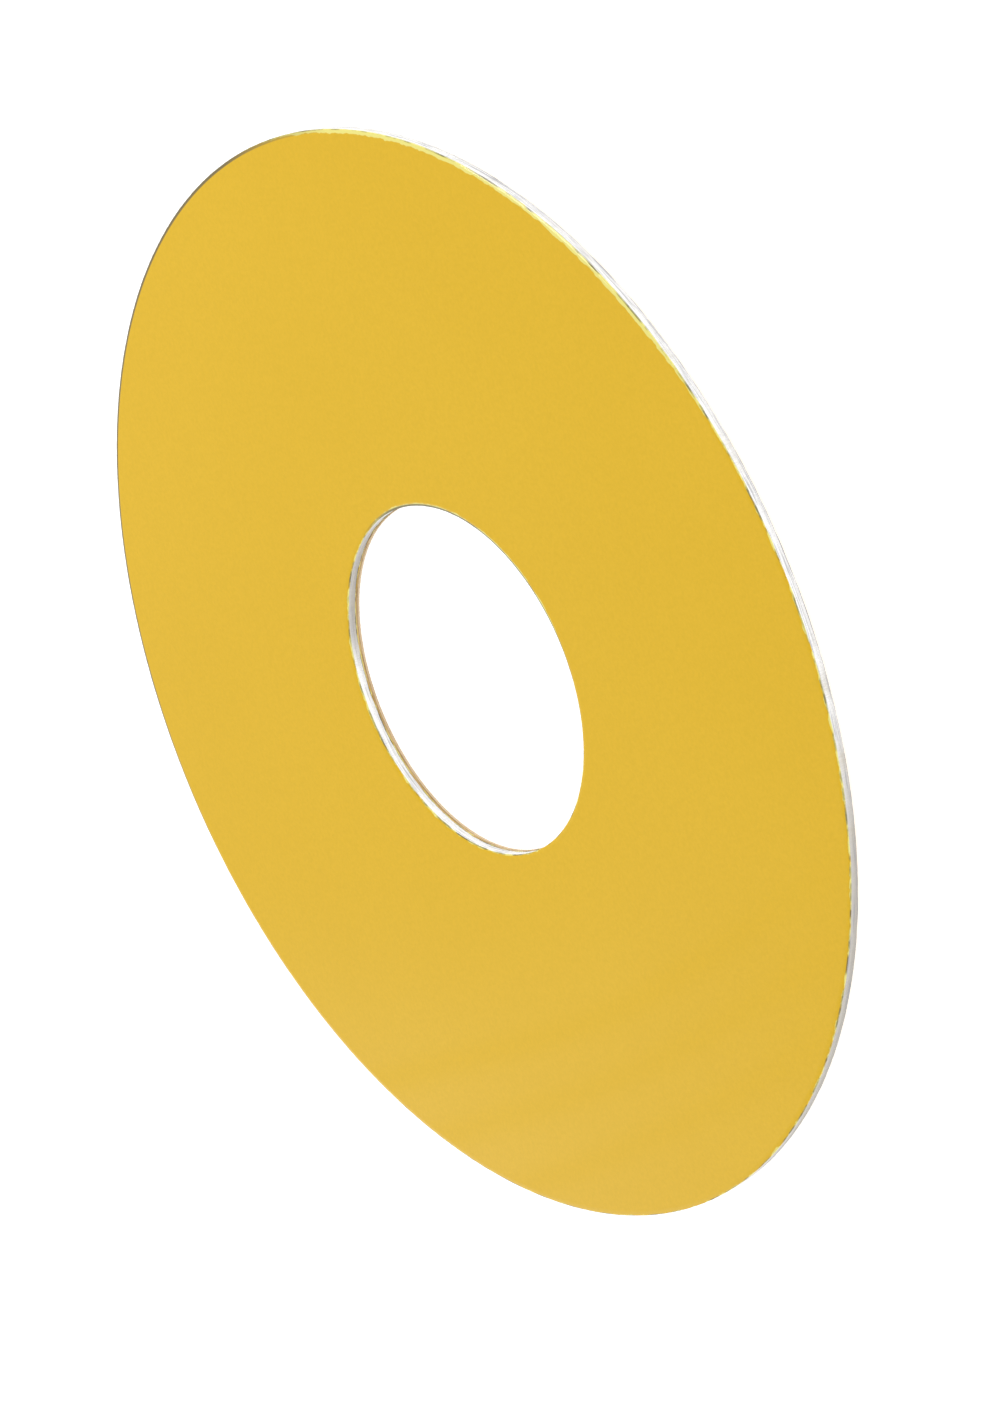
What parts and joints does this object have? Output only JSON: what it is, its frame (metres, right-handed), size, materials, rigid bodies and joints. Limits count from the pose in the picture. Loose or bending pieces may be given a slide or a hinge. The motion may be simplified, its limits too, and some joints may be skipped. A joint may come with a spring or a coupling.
{
  "type": "ring plate",
  "caption": "Flat round plate with a central hole: yellow lacquered sheet aluminium with an adhesive back and a peel-off paper liner, made to go under a panel push button's collar.",
  "frame": {"origin": "on the axis of the central hole, at the underside of the release liner, where the plate lies on a table", "axes": "+Z along the hole's axis, out of the yellow face; X and Y lie in the plate and are alike, because it is round"},
  "size_m": [0.07, 0.07, 0.001],
  "materials": {
    "yellow_lacquer": "gloss",
    "bare_aluminium": "satin",
    "amber_adhesive": "gloss",
    "kraft_paper": "matte"
  },
  "bodies": {
    "plate": {"aluminium_plate": "bare_aluminium", "front_lacquer": "yellow_lacquer", "back_lacquer": "yellow_lacquer", "adhesive_layer": "amber_adhesive"},
    "liner": {"release_liner": "kraft_paper"}
  },
  "joints": [
    {"name": "plate_lift", "type": "slide", "parent": "liner", "child": "plate", "axis": [0, 0, 1], "range_m": [0, 0.008]}
  ]
}
